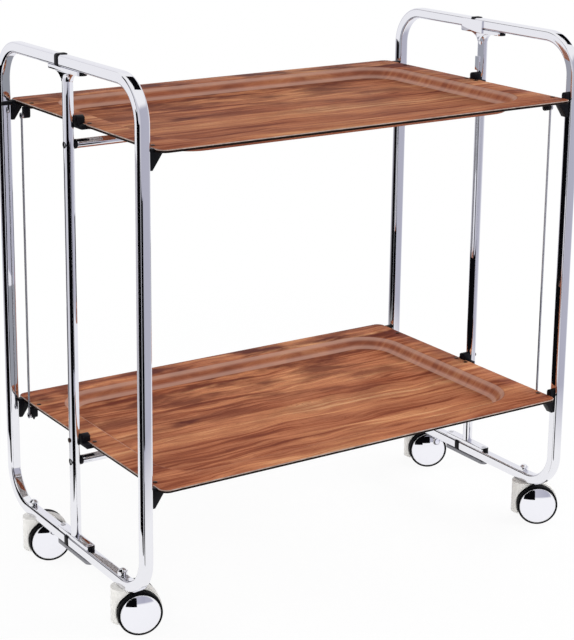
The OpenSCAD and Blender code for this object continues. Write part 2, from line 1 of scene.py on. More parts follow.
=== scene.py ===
# %% [markdown]
# # A folding serving cart
# Two end frames of bent, chromed square tube hold two dished trays with a walnut print.
# The trays lie on crossbars that turn in round middle posts, so that both tip together, and
# four twin-wheel casters with mirror caps carry the whole.
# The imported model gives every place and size, so the first cell loads it and keeps its box.

# %% Load the frame
import json
import math
import bmesh
import bpy
import numpy as np
from mathutils import Matrix, Vector


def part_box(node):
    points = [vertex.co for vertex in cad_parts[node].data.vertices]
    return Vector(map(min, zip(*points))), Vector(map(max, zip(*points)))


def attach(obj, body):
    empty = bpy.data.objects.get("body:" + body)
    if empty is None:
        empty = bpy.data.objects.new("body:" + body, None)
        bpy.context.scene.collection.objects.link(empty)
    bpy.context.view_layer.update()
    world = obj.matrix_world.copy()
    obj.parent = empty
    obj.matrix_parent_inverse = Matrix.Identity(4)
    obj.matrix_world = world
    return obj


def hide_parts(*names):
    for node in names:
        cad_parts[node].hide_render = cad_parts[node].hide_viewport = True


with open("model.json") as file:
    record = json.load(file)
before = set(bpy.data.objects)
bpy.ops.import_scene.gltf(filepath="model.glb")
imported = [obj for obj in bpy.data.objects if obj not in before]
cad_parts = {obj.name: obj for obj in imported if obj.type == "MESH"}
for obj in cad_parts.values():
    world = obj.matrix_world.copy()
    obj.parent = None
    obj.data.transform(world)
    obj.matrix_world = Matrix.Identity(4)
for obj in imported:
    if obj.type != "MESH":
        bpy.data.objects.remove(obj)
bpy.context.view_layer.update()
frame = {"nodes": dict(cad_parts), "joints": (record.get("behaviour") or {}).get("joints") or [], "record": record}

# %% [markdown]
# ## Small helpers
# Everything below is written in metres, but a maker thinks in millimetres, so `mm` turns one
# into the other. Colours are picked as sRGB hex values from such materials, and Blender wants
# linear light, so one function does that for every colour. One function adds a node to any
# tree, sets it and links it, which keeps each material and each node tree short to read.
# An input goes by its name or its place. Map Range has the value, the old range and the new
# range at 0 to 4, and a Mix of colours has its share at 0 and the two colours at 6 and 7.

# %% Units, colours and nodes
def mm(size):
    return size / 1000


def colour(code):
    """An sRGB hex colour as linear red, green, blue and alpha."""
    parts = [int(code[i:i + 2], 16) / 255 for i in (1, 3, 5)]
    linear = [p / 12.92 if p <= 0.04045 else ((p + 0.055) / 1.055) ** 2.4 for p in parts]
    return (*linear, 1)


def fill(node, inputs):
    """Fills a node's inputs with values, with links, or with other nodes' first outputs."""
    for name, value in inputs.items():
        if isinstance(value, bpy.types.Node):
            value = value.outputs[0]
        if isinstance(value, bpy.types.NodeSocket):
            node.id_data.links.new(value, node.inputs[name])
        else:
            node.inputs[name].default_value = value


def add(tree, kind, inputs=None, stops=None, **settings):
    """Adds a node, sets it and fills it. A colour ramp's stops are (place, hex colour)."""
    made = tree.nodes.new(kind)
    for name, value in settings.items():
        setattr(made, name, value)
    fill(made, inputs or {})
    if stops:
        elements = made.color_ramp.elements
        for end in (0, -1):
            elements[end].position = stops[end][0]
            elements[end].color = colour(stops[end][1])
        for place, code in stops[1:-1]:
            elements.new(place).color = colour(code)
    return made


print("mid walnut in linear light", [round(c, 3) for c in colour("#A56A4C")[:3]])

# %% [markdown]
# ## Patterns in real sizes
# A noise pattern can be stretched by scaling the coordinates that feed it. `speckle` takes the
# size of one fleck along X, Y and Z in millimetres, so that grain, pores and moulding texture
# are all written as what a ruler would show. It reads Object coordinates, which lie still on a
# piece that sits at the origin.

# %% Speckle and an empty material
NOISE_LOW, NOISE_HIGH = 0.35, 0.65  # most of a noise pattern lies between these


def speckle(tree, size_mm, detail=3.0, warp=None):
    """Noise whose flecks have this size in millimetres along X, Y and Z. 0 ignores that axis."""
    start = warp or add(tree, "ShaderNodeTexCoord").outputs["Object"]
    scale = [1000 / s if s else 0 for s in size_mm]
    place = add(tree, "ShaderNodeMapping", {"Vector": start, "Scale": scale})
    return add(tree, "ShaderNodeTexNoise",
               {"Vector": place, "Scale": 1.0, "Detail": detail, "Roughness": 0.55})


def new_material(name):
    """An empty material with its tree and its main shader."""
    made = bpy.data.materials.new(name)
    made.use_nodes = True
    return made, made.node_tree, made.node_tree.nodes["Principled BSDF"]


print("noise is stretched from", NOISE_LOW, "to", NOISE_HIGH)

# %% [markdown]
# ## Chrome plate
# The tubes are mild steel with a bright nickel and chromium plate. Chrome is a little darker
# and bluer than silver, and so smooth that the room shows in it as sharp bands. A plated tube
# was polished by hand first, so the bands waver a little: a faint, long swelling does that.
# The mirror caps of the casters are thin plated shells, smoother still than the tubes.

# %% Chrome and mirror plate
def polished_plate(name, plate, swell_mm, rough_low, rough_high):
    """Bright plate over metal whose long, faint waves are this deep."""
    material, tree, shader = new_material(name)
    smears = speckle(tree, (30, 30, 60), 4)
    swell = speckle(tree, (25, 25, 140), 0)
    fill(shader, {
        "Base Color": colour(plate),
        "Metallic": 1,
        "Roughness": add(tree, "ShaderNodeMapRange", {
            0: smears, 1: NOISE_LOW, 2: NOISE_HIGH, 3: rough_low, 4: rough_high}),
        "Normal": add(tree, "ShaderNodeBump", {"Height": swell, "Distance": mm(swell_mm)})})
    return material


chrome_plate = polished_plate("chrome plated steel", "#EBEBF0", swell_mm=0.025,
                              rough_low=0.03, rough_high=0.075)
mirror_plate = polished_plate("mirror plated cap", "#F2F2F8", swell_mm=0.01,
                              rough_low=0.015, rough_high=0.04)
print("made", chrome_plate.name, "and", mirror_plate.name)

# %% [markdown]
# ## Drawn steel and burnished rivets
# The thin rods and the pins are drawn steel wire: bright, but with fine scratches along their
# length, so they gleam softly and show no sharp picture. The plates under the bottom rails are
# a dull grey metal, which paints the shade of the rails above them. The rivet heads were
# browned and then worn by hands, so they are dark with a warm sheen.

# %% Steel wire and rivets
def worn_metal(name, low, high, rough, scratch_mm):
    """Bare or browned metal, with scratches of this size that change its colour and gloss."""
    material, tree, shader = new_material(name)
    tone = speckle(tree, scratch_mm, 3)
    fill(shader, {
        "Base Color": add(tree, "ShaderNodeValToRGB", {0: tone}, [(0.3, low), (0.7, high)]),
        "Metallic": 1,
        "Roughness": add(tree, "ShaderNodeMapRange", {
            0: tone, 1: NOISE_LOW, 2: NOISE_HIGH, 3: rough - 0.06, 4: rough + 0.08})})
    return material


steel_wire = worn_metal("drawn steel wire", "#A9A9AE", "#D2D2D6", rough=0.24,
                        scratch_mm=(0.4, 0.4, 12))
# Painted shade: a darker grey than chrome for the plates that lie in the bottom rails' shadow
painted_shade_plate = worn_metal("grey plate, painted shade", "#838388", "#98989D", rough=0.42,
                        scratch_mm=(3, 3, 3))
browned_rivet = worn_metal("browned rivet steel", "#2A1C16", "#4A342A", rough=0.38,
                           scratch_mm=(1.5, 1.5, 1.5))
print("made", steel_wire.name + ",", painted_shade_plate.name, "and", browned_rivet.name)

# %% [markdown]
# ## Plastics and rubber
# The brackets are black nylon, moulded with a fine spark-eroded grain that takes the gloss off.
# The caster hoods are a warm pale grey, the hubs white, both from a polished mould. The tyres
# are a soft black rubber: darker than nylon and duller, with dust in its pores.

# %% Nylon, hood plastic, hub plastic and tyre rubber
def moulded(name, low, high, rough, grain_mm, depth_mm, gloss=0.5):
    """Plastic or rubber with the fine grain of its mould."""
    material, tree, shader = new_material(name)
    cloudy = speckle(tree, (9, 9, 9), 4)
    grain = speckle(tree, (grain_mm, grain_mm, grain_mm), 2)
    fill(shader, {
        "Base Color": add(tree, "ShaderNodeValToRGB", {0: cloudy}, [(0.35, low), (0.65, high)]),
        "Roughness": add(tree, "ShaderNodeMapRange", {
            0: cloudy, 1: NOISE_LOW, 2: NOISE_HIGH, 3: rough - 0.05, 4: rough + 0.07}),
        "Normal": add(tree, "ShaderNodeBump", {"Height": grain, "Distance": mm(depth_mm)}),
        "Specular IOR Level": gloss})
    return material


black_nylon = moulded("moulded black nylon", "#08080B", "#101014", rough=0.45, grain_mm=0.5,
                      depth_mm=0.03, gloss=0.12)
hood_plastic = moulded("pale grey hood plastic", "#E2E0DB", "#E9E7E3", rough=0.34,
                       grain_mm=0.7, depth_mm=0.003)
hub_plastic = moulded("white hub plastic", "#EDEDED", "#F4F4F4", rough=0.3, grain_mm=0.7,
                      depth_mm=0.005)
tyre_rubber = moulded("soft black tyre rubber", "#060608", "#0D0D10", rough=0.55,
                      grain_mm=0.4, depth_mm=0.02, gloss=0.04)
print("made", len(bpy.data.materials), "materials so far")

# %% [markdown]
# ## The trays' walnut print
# The trays are pressed from paper and veneer under melamine resin, so the grain is a print
# under a thin satin film. The figure runs along the tray. Broad bands from one board to the
# next are about 60 mm wide, streaks about 8 mm, and single lines about 1 mm. Towards the rear
# dark clouds lie across the grain, and one knot shows further forward. Both trays carry the
# same print, so the pattern ignores Z. The flat parts of the back have a plain grey backing and
# its slope has the print, of which only the front edge shows in the photograph. One could paint
# a picture of the grain, but noise stretched along X gives a figure with no repeat.

# %% The figure of the wood
WALNUT = [(0.0, "#783E2D"), (0.25, "#9A593E"), (0.5, "#B47353"), (0.75, "#C5845C"),
          (1.0, "#D7A278")]
KNOT_PLACE = (mm(-150), mm(25), 0)
LINE_SHARE = 0.45  # how much the single lines count against the boards and the streaks


def dark_cover(tree, at, along, clouds):
    """Where the dark clouds and the knot lie, from 0 to 1."""
    # The clouds are strongest at the rear and fade out towards the front
    y = add(tree, "ShaderNodeSeparateXYZ", {0: at}).outputs[1]
    rear = add(tree, "ShaderNodeMapRange", {0: y, 1: mm(-60), 2: mm(170), 3: 0.22, 4: 1.0})
    # One dark knot lies left of the middle, drawn out along the grain
    off = add(tree, "ShaderNodeVectorMath", {0: along, 1: KNOT_PLACE}, operation="SUBTRACT")
    oval = add(tree, "ShaderNodeVectorMath", {0: off, 1: (0.5, 1.0, 0.0)}, operation="MULTIPLY")
    reach = add(tree, "ShaderNodeVectorMath", {0: oval}, operation="LENGTH").outputs["Value"]
    knot = add(tree, "ShaderNodeMapRange", {0: reach, 1: mm(6), 2: mm(34), 3: 1.0, 4: 0.0})
    weight = add(tree, "ShaderNodeMath", {0: rear, 1: knot}, operation="MAXIMUM")
    thick = add(tree, "ShaderNodeMapRange", {0: clouds, 1: 0.43, 2: 0.6, 3: 0, 4: 1})
    return add(tree, "ShaderNodeMath", {0: thick, 1: weight}, operation="MULTIPLY")


def walnut_figure(tree):
    """The print's colour on a flat sheet, its single lines and its clouds."""
    at = add(tree, "ShaderNodeTexCoord").outputs["Object"]
    # The grain's lines lean and waver by a few millimetres along the board
    waver = add(tree, "ShaderNodeMapRange", {
        0: speckle(tree, (150, 45, 0), 2), 1: 0.25, 2: 0.75, 3: mm(-9), 4: mm(9)})
    aside = add(tree, "ShaderNodeCombineXYZ", {"Y": waver})
    along = add(tree, "ShaderNodeVectorMath", {0: at, 1: aside}, operation="ADD").outputs[0]
    boards = speckle(tree, (520, 62, 0), 2, along)
    streaks = speckle(tree, (240, 8, 0), 5, along)
    lines = speckle(tree, (60, 1.3, 0), 3, along)
    pores = speckle(tree, (7, 0.7, 0), 1, along)
    clouds = speckle(tree, (95, 34, 0), 5, along)
    broad = add(tree, "ShaderNodeMath", {0: boards, 1: streaks}, operation="ADD")
    grain = add(tree, "ShaderNodeMath", {0: lines, 1: LINE_SHARE, 2: broad},
                operation="MULTIPLY_ADD")
    # The three patterns together mostly lie between these two sums
    tone = add(tree, "ShaderNodeMapRange", {0: grain, 1: 0.98, 2: 1.46, 3: 0, 4: 1})
    wood = add(tree, "ShaderNodeValToRGB", {0: tone}, WALNUT)
    cover = dark_cover(tree, at, along, clouds)
    dark = add(tree, "ShaderNodeMix", {0: cover, 6: wood, 7: colour("#5E2E26")},
               data_type="RGBA")
    holes = add(tree, "ShaderNodeMapRange", {0: pores, 1: 0.6, 2: 0.72, 3: 0, 4: 0.5})
    pored = add(tree, "ShaderNodeMix", {0: holes, 6: dark.outputs[2], 7: colour("#4B2419")},
                data_type="RGBA")
    return pored.outputs[2], lines, clouds


print("walnut tones", len(WALNUT), "knot at", KNOT_PLACE)


# %% The print on the slopes, with painted highlights at the bends
def pressed(tree, flat, upward):
    """The print on the slope: mixed towards one darker brown, with painted highlights as pale lines at the bends.

    upward is 1 where the sheet lies flat, and falls as it slopes.
    """
    slant = add(tree, "ShaderNodeMapRange", {0: upward, 1: 0.995, 2: 0.93, 3: 0.0, 4: 0.6})
    slope_toned = add(tree, "ShaderNodeMix", {0: slant, 6: flat, 7: colour("#8E5641")},
                  data_type="RGBA")
    # Painted highlight: pale lines along the top and bottom bends of the slope, standing in for light caught there
    # by the satin film
    bends = add(tree, "ShaderNodeValToRGB", {0: upward}, [
        (0.655, "#000000"), (0.72, "#A0A0A0"), (0.9, "#A0A0A0"), (0.978, "#000000")])
    bend_highlighted = add(tree, "ShaderNodeMix", {0: bends, 6: slope_toned.outputs[2], 7: colour("#D9B8A8")},
                data_type="RGBA")
    return bend_highlighted.outputs[2]


def walnut_print(name, backed=False):
    """The print's material. With backed, faces that look straight down show the plain backing."""
    material, tree, shader = new_material(name)
    flat, lines, clouds = walnut_figure(tree)
    normal = add(tree, "ShaderNodeTexCoord").outputs["Normal"]
    upward = add(tree, "ShaderNodeSeparateXYZ", {0: normal}).outputs[2]
    sheet = pressed(tree, flat, upward)
    if backed:
        down = add(tree, "ShaderNodeMapRange", {0: upward, 1: -0.99, 2: -0.94, 3: 1.0, 4: 0.0})
        grey = add(tree, "ShaderNodeValToRGB", {0: clouds}, [(0.3, "#ABA5A2"), (0.7, "#B9B3B0")])
        sheet = add(tree, "ShaderNodeMix", {0: down, 6: sheet, 7: grey},
                    data_type="RGBA").outputs[2]
    fill(shader, {
        "Base Color": sheet,
        "Roughness": add(tree, "ShaderNodeMapRange", {
            0: lines, 1: NOISE_LOW, 2: NOISE_HIGH, 3: 0.4, 4: 0.54}),
        "Normal": add(tree, "ShaderNodeBump", {"Height": lines, "Distance": mm(0.03)}),
        "Specular IOR Level": 0.01})
    return material


walnut_top = walnut_print("walnut print, top")
walnut_under = walnut_print("walnut print, underside", backed=True)
resin_edge = moulded("dark resin edge", "#120B09", "#1C110E", rough=0.45, grain_mm=0.4,
                     depth_mm=0.01, gloss=0.06)
# Painted highlight: a pale brown for the top rows of the edge, where its rounded corner catches the light
painted_edge_highlight = moulded("resin edge, painted highlight", "#8F7A70", "#AF9C92", rough=0.4,
                    grain_mm=0.4, depth_mm=0.01, gloss=0.3)
print("made", len(bpy.data.materials), "materials in all")

# %% [markdown]
# ## Which finish goes on which piece
# The record names a material slot for every node. One table turns a slot into its finish, and
# `settle` gives a piece the finish of its node's slot and an empty for the body that it moves
# with, and hides the node that it stands for, so that no piece is forgotten.

# %% Finishes by slot
finish_of = {
    "chromed_steel": chrome_plate,
    "plain_steel": steel_wire,
    "dark_rivet": browned_rivet,
    "black_plastic": black_nylon,
    "walnut_laminate": walnut_top,
    "pale_plastic": hood_plastic,
    "white_plastic": hub_plastic,
    "black_rubber": tyre_rubber,
    "mirror_cap": mirror_plate,
}
slot_of = {part["node"]: part["material_slot"] for part in frame["record"]["subparts"]}
body_of = {node: body for body, nodes in frame["record"]["behaviour"]["bodies"].items()
           for node in nodes}


def settle(piece, node):
    """Gives a piece the finish of its node's slot, parents it to the node's body and hides the node."""
    if not piece.data.materials:
        piece.data.materials.append(finish_of[slot_of[node]])
    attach(piece, body_of[node])
    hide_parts(node)
    return piece


def show(name, mesh):
    """A new object in the scene for this mesh."""
    piece = bpy.data.objects.new(name, mesh)
    bpy.context.scene.collection.objects.link(piece)
    return piece


def baked(piece, name):
    """The piece with its modifiers made real, as a new plain object."""
    seen = piece.evaluated_get(bpy.context.evaluated_depsgraph_get())
    result = show(name, bpy.data.meshes.new_from_object(seen))
    bpy.data.objects.remove(piece)
    return result


def crease(mesh, degrees):
    """Smooth shading, with edges sharper than this angle kept sharp."""
    made = bmesh.new()
    made.from_mesh(mesh)
    for face in made.faces:
        face.smooth = True
    for edge in made.edges:
        edge.smooth = edge.calc_face_angle(0) < math.radians(degrees)
    made.to_mesh(mesh)
    made.free()


print("slots", sorted(set(slot_of.values())))

# %% [markdown]
# ## Bent square tube
# Each end frame is two C-shaped halves of 15 mm square tube with soft corners. A bender pulls
# the tube round a former, so every bend is the same quarter circle. That is a rule, so a
# Geometry Nodes tree makes it: it takes a path with sharp corners, rounds each corner to the
# bend radius, and sweeps the rounded square along it. Modelling the bends by hand would give
# four slightly different ones.

# %% A node tree that bends tube
BEND_RADIUS = mm(50)
TUBE_CORNER = mm(3.5)
BEND_STEPS = 24
CORNER_STEPS = 9


def socket(tree, name, kind, default=None, way="INPUT"):
    """Adds a named input or output to a node tree and gives its identifier."""
    made = tree.interface.new_socket(name, in_out=way, socket_type=kind)
    if default is not None:
        made.default_value = default
    return made.identifier


def bent_tube_tree():
    """The tree, and the identifiers of its named inputs."""
    tree = bpy.data.node_groups.new("bent square tube", "GeometryNodeTree")
    socket(tree, "Path", "NodeSocketGeometry")
    names = {
        "bend": socket(tree, "Bend radius", "NodeSocketFloat", BEND_RADIUS),
        "width": socket(tree, "Tube width", "NodeSocketFloat", mm(15)),
        "corner": socket(tree, "Corner radius", "NodeSocketFloat", TUBE_CORNER),
        "finish": socket(tree, "Finish", "NodeSocketMaterial"),
    }
    socket(tree, "Tube", "NodeSocketGeometry", way="OUTPUT")
    given = add(tree, "NodeGroupInput").outputs
    path = add(tree, "GeometryNodeMeshToCurve", {0: given["Path"]})
    bent = add(tree, "GeometryNodeFilletCurve",
               {"Curve": path, "Count": BEND_STEPS, "Radius": given["Bend radius"]}, mode="POLY")
    square = add(tree, "GeometryNodeCurvePrimitiveQuadrilateral",
                 {"Width": given["Tube width"], "Height": given["Tube width"]})
    soft = add(tree, "GeometryNodeFilletCurve",
               {"Curve": square, "Count": CORNER_STEPS, "Radius": given["Corner radius"]},
               mode="POLY")
    tube = add(tree, "GeometryNodeCurveToMesh",
               {"Curve": bent, "Profile Curve": soft, "Fill Caps": True})
    smooth = add(tree, "GeometryNodeSetShadeSmooth", {0: tube})
    real = add(tree, "GeometryNodeRealizeInstances", {0: smooth})
    dressed = add(tree, "GeometryNodeSetMaterial",
                  {"Geometry": real, "Material": given["Finish"]})
    add(tree, "NodeGroupOutput", {0: dressed})
    return tree, names


tube_tree, tube_inputs = bent_tube_tree()
print("tube tree inputs", tube_inputs)


# %% The four half frames
TUBE_CREASE = 40  # degrees, so that only the sawn ends stay sharp


def half_frame(node):
    """Sweeps one half frame along the corners of its node's box."""
    low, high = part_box(node)
    width = high.x - low.x
    inset = width / 2
    x = (low.x + high.x) / 2
    top, bottom = high.z - inset, low.z + inset
    rear = high.y > -low.y
    upright = high.y - inset if rear else low.y + inset
    end = low.y if rear else high.y
    corners = [(x, end, top), (x, upright, top), (x, upright, bottom), (x, end, bottom)]
    path = bpy.data.meshes.new(node + " path")
    path.from_pydata(corners, [(0, 1), (1, 2), (2, 3)], [])
    piece = show(node + "_path", path)
    swept = piece.modifiers.new("sweep", "NODES")
    swept.node_group = tube_tree
    swept[tube_inputs["bend"]] = BEND_RADIUS
    swept[tube_inputs["width"]] = width
    swept[tube_inputs["corner"]] = TUBE_CORNER
    swept[tube_inputs["finish"]] = finish_of[slot_of[node]]
    tube = baked(piece, node + "_tube")
    made = bmesh.new()
    made.from_mesh(tube.data)
    bmesh.ops.recalc_face_normals(made, faces=made.faces)
    made.to_mesh(tube.data)
    made.free()
    crease(tube.data, TUBE_CREASE)
    return settle(tube, node)


for node in ("left_rear_frame", "left_front_frame", "right_rear_frame", "right_front_frame"):
    tube = half_frame(node)
    print(tube.name, "faces", len(tube.data.polygons),
          "size", [round(d, 4) for d in tube.dimensions])

# %% [markdown]
# ## Dished trays
# A tray is pressed in a heated mould: a flat rim, an S-shaped slope and a sunken floor, all
# 4 mm thick. Seen from above, every level of it is a rectangle with round corners, so the
# tray is a stack of such rings joined by quads. A sculpted grid would need far more faces and
# would not keep the rim flat. The edge is cut square, with its corners just broken, and shows
# the dark resin core. Its upper corner is painted pale: a painted highlight along the edge.

# %% Rings for the trays
TRAY_THICK = mm(4)
RIM_WIDTH = mm(33)
SLOPE_WIDTH = mm(20)
TRAY_CORNER = mm(12)
DISH_CORNER = mm(60)
EDGE_ROUND = mm(1)
RING_CORNER = 20  # steps round each corner of a ring
RING_SIDE = 10  # steps along each side


def ring(half_x, half_y, radius, z):
    """Points of a rectangle with round corners, the same number on every ring."""
    points = []
    centres = [Vector((sx * (half_x - radius), sy * (half_y - radius), z))
               for sx, sy in ((1, 1), (-1, 1), (-1, -1), (1, -1))]
    for quarter, centre in enumerate(centres):
        for turn in np.linspace(quarter, quarter + 1, RING_CORNER + 1) * math.pi / 2:
            points.append(centre + radius * Vector((math.cos(turn), math.sin(turn), 0)))
        start = points[-1]
        end = start + centres[(quarter + 1) % 4] - centre
        points += [start.lerp(end, step / RING_SIDE) for step in range(1, RING_SIDE)]
    return points


def slope_levels(steps=22):
    """How far in and how far down the S-shaped slope is at each step."""
    levels = []
    for step in range(steps + 1):
        share = step / steps
        levels.append((SLOPE_WIDTH * share, (1 - math.cos(math.pi * share)) / 2))
    return levels


print("points on a ring", len(ring(0.3, 0.2, 0.03, 0)))


# %% The two trays
TOP, UNDER, RESIN, EDGE_HIGHLIGHT = range(4)  # the places of the tray's finishes
# The top two rows of the edge carry the painted highlight
EDGE_FINISHES = (EDGE_HIGHLIGHT, EDGE_HIGHLIGHT, RESIN, RESIN, RESIN)  # the rows of the edge, from the top down


def dished_tray(node):
    """Stacks the rings of one tray and joins them."""
    low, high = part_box(node)
    half_x, half_y, top = high.x, high.y, high.z
    depth = high.z - low.z - TRAY_THICK
    dish_x, dish_y = half_x - RIM_WIDTH, half_y - RIM_WIDTH
    upper = [ring(dish_x - s, dish_y - s, DISH_CORNER - s, top - depth * d)
             for s, d in reversed(slope_levels())]
    lower = [ring(dish_x - s, dish_y - s, DISH_CORNER - s, top - depth * d - TRAY_THICK)
             for s, d in slope_levels()]
    cut = EDGE_ROUND
    edge = [ring(half_x - inset, half_y - inset, TRAY_CORNER - inset, top + z)
            for z, inset in ((0, cut), (-cut * 0.3, cut * 0.3), (-cut, 0),
                             (cut - TRAY_THICK, 0), (cut * 0.3 - TRAY_THICK, cut * 0.3),
                             (-TRAY_THICK, cut))]
    rings = upper + edge + lower
    count = len(rings[0])
    made = bmesh.new()
    rows = [[made.verts.new(p) for p in row] for row in rings]
    # The rows that join one ring to the next: the slope and rim, the edge, and the underside
    finishes = [TOP] * len(upper) + list(EDGE_FINISHES) + [UNDER] * len(lower)
    for r in range(len(rows) - 1):
        for i in range(count):
            j = (i + 1) % count
            face = made.faces.new((rows[r][i], rows[r + 1][i], rows[r + 1][j], rows[r][j]))
            face.material_index = finishes[r]
            face.smooth = True
    made.faces.new(rows[0]).material_index = TOP
    made.faces.new(list(reversed(rows[-1]))).material_index = UNDER
    bmesh.ops.recalc_face_normals(made, faces=made.faces)
    mesh = bpy.data.meshes.new(node + " pressed")
    made.to_mesh(mesh)
    made.free()
    for finish in (walnut_top, walnut_under, resin_edge, painted_edge_highlight):
        mesh.materials.append(finish)
    return settle(show(node + "_pressed", mesh), node)


for node in ("upper_tray", "lower_tray"):
    tray = dished_tray(node)
    print(tray.name, "faces", len(tray.data.polygons),
          "size", [round(d, 4) for d in tray.dimensions])

# %% [markdown]
# ## Rivets
# Rivets hold the brackets to the rims, with a low dome at each end. Sixteen equal pieces call
# for instances on points: the points come from the rivets' node, whose solids stand apart, and
# one dome is placed at the top and one at the bottom of each.

# %% A node tree that sets a dome on every point
HEAD_HEIGHT = mm(1.2)


def rivet_tree():
    """The tree, and the identifiers of its named inputs."""
    tree = bpy.data.node_groups.new("rivet heads", "GeometryNodeTree")
    socket(tree, "Places", "NodeSocketGeometry")
    names = {
        "radius": socket(tree, "Head radius", "NodeSocketFloat", mm(3.2)),
        "height": socket(tree, "Head height", "NodeSocketFloat", HEAD_HEIGHT),
        "finish": socket(tree, "Finish", "NodeSocketMaterial"),
    }
    socket(tree, "Rivets", "NodeSocketGeometry", way="OUTPUT")
    given = add(tree, "NodeGroupInput").outputs
    ball = add(tree, "GeometryNodeMeshUVSphere", {"Segments": 24, "Rings": 12, "Radius": 1.0})
    scale = add(tree, "ShaderNodeCombineXYZ",
                {0: given["Head radius"], 1: given["Head radius"], 2: given["Head height"]})
    set_on = add(tree, "GeometryNodeInstanceOnPoints",
                 {"Points": given["Places"], "Instance": ball, "Scale": scale})
    real = add(tree, "GeometryNodeRealizeInstances", {0: set_on})
    smooth = add(tree, "GeometryNodeSetShadeSmooth", {0: real})
    dressed = add(tree, "GeometryNodeSetMaterial",
                  {"Geometry": smooth, "Material": given["Finish"]})
    add(tree, "NodeGroupOutput", {0: dressed})
    return tree, names


dome_tree, dome_inputs = rivet_tree()
print("dome tree inputs", dome_inputs)


# %% The rivets
def islands(node):
    """The lowest and highest corners of each separate solid of a node."""
    made = bmesh.new()
    made.from_mesh(frame["nodes"][node].data)
    bmesh.ops.remove_doubles(made, verts=made.verts, dist=mm(0.001))
    left = set(made.verts)
    boxes = []
    while left:
        group = [left.pop()]
        for vert in group:
            for edge in vert.link_edges:
                other = edge.other_vert(vert)
                if other in left:
                    left.remove(other)
                    group.append(other)
        spots = np.array([v.co for v in group])
        boxes.append((Vector(spots.min(0)), Vector(spots.max(0))))
    made.free()
    return sorted(boxes, key=lambda b: tuple(round(c, 5) for c in b[0]))


def rivets(node):
    """Two domes for each rivet, one at its top and one at its bottom."""
    spots = []
    for low, high in islands(node):
        middle = (low + high) / 2
        spots += [(middle.x, middle.y, high.z - HEAD_HEIGHT),
                  (middle.x, middle.y, low.z + HEAD_HEIGHT)]
    places = bpy.data.meshes.new(node + " places")
    places.from_pydata(spots, [], [])
    piece = show(node + "_places", places)
    domes = piece.modifiers.new("domes", "NODES")
    domes.node_group = dome_tree
    domes[dome_inputs["radius"]] = (high.x - low.x) / 2
    domes[dome_inputs["height"]] = HEAD_HEIGHT
    domes[dome_inputs["finish"]] = finish_of[slot_of[node]]
    return settle(baked(piece, node + "_domes"), node)


for node in ("upper_rivets", "lower_rivets"):
    heads = rivets(node)
    print(heads.name, "faces", len(heads.data.polygons))

# %% [markdown]
# ## Small machined and moulded pieces
# Hinge bars, brackets, bushes and posts have the right shape in the model already, but every
# real edge is broken by a file or a mould radius, and that thin bright line is what the eye
# reads as solid. So each of these pieces is a copy of its node: the loose triangles are
# joined, flat faces are cleaned, and, on all but the posts, a narrow bevel goes round the sharp edges.

# %% Copies with broken edges
# The plates under the bottom rails take the darker grey of painted shade in place of chrome
OWN_FINISH = {"lower_hinge_plates": painted_shade_plate}
SHARP_EDGE = 35  # degrees from which an edge is bevelled and kept sharp


def edged_copy(node, bevel_mm):
    """A clean copy of a node's solids with their sharp edges broken."""
    mesh = frame["nodes"][node].data.copy()
    mesh.materials.clear()
    if node in OWN_FINISH:
        mesh.materials.append(OWN_FINISH[node])
    made = bmesh.new()
    made.from_mesh(mesh)
    bmesh.ops.remove_doubles(made, verts=made.verts, dist=mm(0.002))
    bmesh.ops.dissolve_limit(made, angle_limit=math.radians(0.5), verts=made.verts,
                             edges=made.edges)
    made.to_mesh(mesh)
    made.free()
    piece = show(node + "_copy", mesh)
    if bevel_mm:
        broken = piece.modifiers.new("broken edges", "BEVEL")
        broken.width = mm(bevel_mm)
        broken.segments = 2
        broken.limit_method = "ANGLE"
        broken.angle_limit = math.radians(SHARP_EDGE)
    piece = baked(piece, node + "_edged")
    crease(piece.data, SHARP_EDGE)
    return settle(piece, node)


# The width of each piece's bevel in millimetres
BEVELS = {
    "left_post": 0, "right_post": 0,
    "left_top_bar": 0.8, "right_top_bar": 0.8, "left_bottom_bar": 0.8, "right_bottom_bar": 0.8,
    "lower_hinge_plates": 0.8, "hinge_pins": 0.3, "rail_collars": 0.3, "bar_end_caps": 0.6,
    "pivot_bushes": 0.4, "post_rivets": 0.4, "stop_pads": 0.6, "tray_catch": 0.4,
    "caster_stems": 0.4, "stem_nuts": 0.4,
    "rear_left_rod": 0.3, "front_right_rod": 0.3,
}
for level in ("upper", "lower"):
    BEVELS.update({level + "_crossbar": 0.2, level + "_pivot_pins": 0.3, level + "_saddles": 0.5,
                   level + "_end_brackets": 0.6, level + "_corner_brackets": 0.6,
                   level + "_rod_clips": 0.5})
for node, width in BEVELS.items():
    edged_copy(node, width)
print("pieces with broken edges", len(BEVELS))

# %% [markdown]
# ## Wheels
# Each caster has two wheels on one axle: a black tyre on a white hub, closed by a domed mirror
# cap. All three are turned parts, so each is an outline spun round the axle. The cap is a
# shallow piece of a ball, and a thin white line of the hub shows between it and the tyre.

# %% A lathe
def turned(outline, segments=96):
    """Spins an outline of (radius, height) points round Z into a closed bmesh."""
    made = bmesh.new()
    rows = []
    for turn in range(segments):
        angle = 2 * math.pi * turn / segments
        rows.append([made.verts.new((r * math.cos(angle), r * math.sin(angle), h))
                     for r, h in outline])
    for turn in range(segments):
        here, there = rows[turn], rows[(turn + 1) % segments]
        for k in range(len(outline) - 1):
            made.faces.new((here[k], there[k], there[k + 1], here[k + 1]))
    bmesh.ops.remove_doubles(made, verts=made.verts, dist=mm(0.001))
    bmesh.ops.recalc_face_normals(made, faces=made.faces)
    return made


def arc(centre, radius, start, end, steps):
    """Points of an arc in degrees, as (radius, height)."""
    return [(centre[0] + radius * math.cos(math.radians(a)),
             centre[1] + radius * math.sin(math.radians(a)))
            for a in np.linspace(start, end, steps + 1)]


